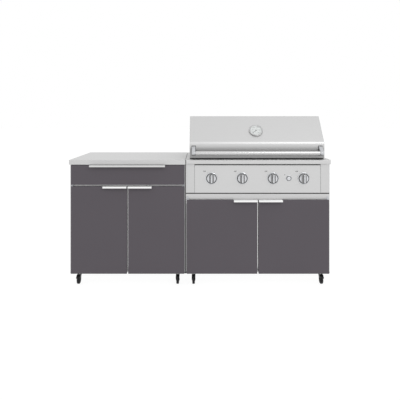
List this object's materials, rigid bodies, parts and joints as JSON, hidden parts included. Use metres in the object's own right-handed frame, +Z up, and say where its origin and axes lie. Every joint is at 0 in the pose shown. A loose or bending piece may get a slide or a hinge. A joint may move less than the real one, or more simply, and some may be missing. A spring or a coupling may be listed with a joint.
{
  "type": "outdoor kitchen island",
  "caption": "Outdoor kitchen island: a cupboard unit with a steel worktop and a drawer, beside a gas grill unit with a hinged hood, on casters.",
  "frame": {"origin": "on the ground, in the middle of the overall width and depth", "axes": "+X to the right as seen from the front, +Y to the back, +Z up"},
  "size_m": [1.8388, 0.6346, 1.185],
  "materials": {
    "stainless_steel": "brushed",
    "carcass_steel": "satin",
    "slate_paint": "satin powder coat",
    "pull_metal": "satin anodised",
    "polished_steel": "polished",
    "cast_metal": "polished casting",
    "knob_metal": "satin chrome",
    "zinc_steel": "zinc plated",
    "needle_paint": "matt black",
    "black_enamel": "gloss enamel",
    "grate_iron": "enamelled",
    "burner_steel": "brushed",
    "gas_pipe_metal": "satin",
    "black_metal": "black powder coat",
    "wheel_rubber": "matt"
  },
  "bodies": {
    "root": {"burners": "burner_steel", "control_panel": "stainless_steel", "cooking_grates": "grate_iron", "cupboard_back": "carcass_steel", "cupboard_floor": "carcass_steel", "cupboard_rails": "carcass_steel", "cupboard_shelf": "carcass_steel", "cupboard_sides": "carcass_steel", "door_pivots": "zinc_steel", "drawer_slide_rails": "zinc_steel", "firebox": "black_enamel", "front_caster_plates": "black_metal", "gas_manifold": "gas_pipe_metal", "grill_cabinet_back": "carcass_steel", "grill_cabinet_floor": "carcass_steel", "grill_cabinet_sides": "carcass_steel", "grill_face_frame": "carcass_steel", "grill_top_frame": "stainless_steel", "heat_plates": "burner_steel", "hood_hinges": "zinc_steel", "knob_bezels": "polished_steel", "rear_caster_forks": "black_metal", "warming_rack": "polished_steel", "worktop": "stainless_steel"},
    "drawer": {"drawer_front": "slate_paint", "drawer_box": "carcass_steel", "drawer_pull": "pull_metal", "drawer_runners": "zinc_steel"},
    "cupboard_left_door": {"cupboard_left_door": "slate_paint", "cupboard_left_door_pull": "pull_metal"},
    "cupboard_right_door": {"cupboard_right_door": "slate_paint", "cupboard_right_door_pull": "pull_metal"},
    "grill_left_door": {"grill_left_door": "slate_paint", "grill_left_door_pull": "pull_metal"},
    "grill_right_door": {"grill_right_door": "slate_paint", "grill_right_door_pull": "pull_metal"},
    "hood": {"hood_skin": "stainless_steel", "hood_end_caps": "stainless_steel", "hood_handle_bar": "polished_steel", "hood_handle_brackets": "cast_metal", "thermometer_case": "polished_steel"},
    "needle": {"thermometer_needle": "needle_paint"},
    "grease_cup": {"grease_cup": "zinc_steel"},
    "knob_1": {"knob_1": "knob_metal"},
    "knob_2": {"knob_2": "knob_metal"},
    "knob_3": {"knob_3": "knob_metal"},
    "knob_4": {"knob_4": "knob_metal"},
    "igniter_button": {"igniter_button": "knob_metal"},
    "cupboard_left_caster_fork": {"cupboard_left_caster_fork": "black_metal"},
    "cupboard_left_front_wheel": {"cupboard_left_front_wheel": "wheel_rubber"},
    "cupboard_left_rear_wheel": {"cupboard_left_rear_wheel": "wheel_rubber"},
    "cupboard_right_caster_fork": {"cupboard_right_caster_fork": "black_metal"},
    "cupboard_right_front_wheel": {"cupboard_right_front_wheel": "wheel_rubber"},
    "cupboard_right_rear_wheel": {"cupboard_right_rear_wheel": "wheel_rubber"},
    "grill_left_caster_fork": {"grill_left_caster_fork": "black_metal"},
    "grill_left_front_wheel": {"grill_left_front_wheel": "wheel_rubber"},
    "grill_left_rear_wheel": {"grill_left_rear_wheel": "wheel_rubber"},
    "grill_right_caster_fork": {"grill_right_caster_fork": "black_metal"},
    "grill_right_front_wheel": {"grill_right_front_wheel": "wheel_rubber"},
    "grill_right_rear_wheel": {"grill_right_rear_wheel": "wheel_rubber"}
  },
  "joints": [
    {"name": "drawer_slide", "type": "slide", "parent": "root", "child": "drawer", "axis": [0, -1, 0], "range_m": [0, 0.4]},
    {"name": "cupboard_left_door_hinge", "type": "hinge", "parent": "root", "child": "cupboard_left_door", "pos_m": [-0.8984, -0.2833, 0.4], "axis": [0, 0, -1], "range_deg": [0, 105]},
    {"name": "cupboard_right_door_hinge", "type": "hinge", "parent": "root", "child": "cupboard_right_door", "pos_m": [-0.11785, -0.2833, 0.4], "axis": [0, 0, 1], "range_deg": [0, 85]},
    {"name": "grill_left_door_hinge", "type": "hinge", "parent": "root", "child": "grill_left_door", "pos_m": [-0.08535, -0.2833, 0.4], "axis": [0, 0, -1], "range_deg": [0, 85]},
    {"name": "grill_right_door_hinge", "type": "hinge", "parent": "root", "child": "grill_right_door", "pos_m": [0.8984, -0.2833, 0.4], "axis": [0, 0, 1], "range_deg": [0, 105]},
    {"name": "hood_hinge", "type": "hinge", "parent": "root", "child": "hood", "pos_m": [0.4064, 0.2677, 0.905], "axis": [-1, 0, 0], "range_deg": [0, 85]},
    {"name": "needle_turn", "type": "hinge", "parent": "hood", "child": "needle", "pos_m": [0.4064, -0.17197, 1.08], "axis": [0, 0.7712, -0.6366], "range_deg": [0, 270]},
    {"name": "grease_cup_slide", "type": "slide", "parent": "root", "child": "grease_cup", "axis": [0, -1, 0], "range_m": [0, 0.19]},
    {"name": "knob_1_turn", "type": "hinge", "parent": "root", "child": "knob_1", "pos_m": [0.0809, -0.2723, 0.748], "axis": [0, -1, 0], "range_deg": [0, 180]},
    {"name": "knob_2_turn", "type": "hinge", "parent": "root", "child": "knob_2", "pos_m": [0.2979, -0.2723, 0.748], "axis": [0, -1, 0], "range_deg": [0, 180]},
    {"name": "knob_3_turn", "type": "hinge", "parent": "root", "child": "knob_3", "pos_m": [0.5149, -0.2723, 0.748], "axis": [0, -1, 0], "range_deg": [0, 180]},
    {"name": "knob_4_turn", "type": "hinge", "parent": "root", "child": "knob_4", "pos_m": [0.7319, -0.2723, 0.748], "axis": [0, -1, 0], "range_deg": [0, 180]},
    {"name": "igniter_press", "type": "slide", "parent": "root", "child": "igniter_button", "axis": [0, 1, 0], "range_m": [0, 0.003], "stiffness_N_per_m": 1500},
    {"name": "cupboard_left_caster_swivel", "type": "hinge", "parent": "root", "child": "cupboard_left_caster_fork", "pos_m": [-0.8584, -0.2353, 0.07], "axis": [0, 0, 1], "continuous": true},
    {"name": "cupboard_left_front_wheel_roll", "type": "hinge", "parent": "cupboard_left_caster_fork", "child": "cupboard_left_front_wheel", "pos_m": [-0.8584, -0.2573, 0.032], "axis": [1, 0, 0], "continuous": true},
    {"name": "cupboard_left_rear_wheel_roll", "type": "hinge", "parent": "root", "child": "cupboard_left_rear_wheel", "pos_m": [-0.8584, 0.2623, 0.032], "axis": [1, 0, 0], "continuous": true},
    {"name": "cupboard_right_caster_swivel", "type": "hinge", "parent": "root", "child": "cupboard_right_caster_fork", "pos_m": [-0.15785, -0.2353, 0.07], "axis": [0, 0, 1], "continuous": true},
    {"name": "cupboard_right_front_wheel_roll", "type": "hinge", "parent": "cupboard_right_caster_fork", "child": "cupboard_right_front_wheel", "pos_m": [-0.15785, -0.2573, 0.032], "axis": [1, 0, 0], "continuous": true},
    {"name": "cupboard_right_rear_wheel_roll", "type": "hinge", "parent": "root", "child": "cupboard_right_rear_wheel", "pos_m": [-0.15785, 0.2623, 0.032], "axis": [1, 0, 0], "continuous": true},
    {"name": "grill_left_caster_swivel", "type": "hinge", "parent": "root", "child": "grill_left_caster_fork", "pos_m": [-0.04535, -0.2353, 0.07], "axis": [0, 0, 1], "continuous": true},
    {"name": "grill_left_front_wheel_roll", "type": "hinge", "parent": "grill_left_caster_fork", "child": "grill_left_front_wheel", "pos_m": [-0.04535, -0.2573, 0.032], "axis": [1, 0, 0], "continuous": true},
    {"name": "grill_left_rear_wheel_roll", "type": "hinge", "parent": "root", "child": "grill_left_rear_wheel", "pos_m": [-0.04535, 0.2623, 0.032], "axis": [1, 0, 0], "continuous": true},
    {"name": "grill_right_caster_swivel", "type": "hinge", "parent": "root", "child": "grill_right_caster_fork", "pos_m": [0.8584, -0.2353, 0.07], "axis": [0, 0, 1], "continuous": true},
    {"name": "grill_right_front_wheel_roll", "type": "hinge", "parent": "grill_right_caster_fork", "child": "grill_right_front_wheel", "pos_m": [0.8584, -0.2573, 0.032], "axis": [1, 0, 0], "continuous": true},
    {"name": "grill_right_rear_wheel_roll", "type": "hinge", "parent": "root", "child": "grill_right_rear_wheel", "pos_m": [0.8584, 0.2623, 0.032], "axis": [1, 0, 0], "continuous": true}
  ]
}
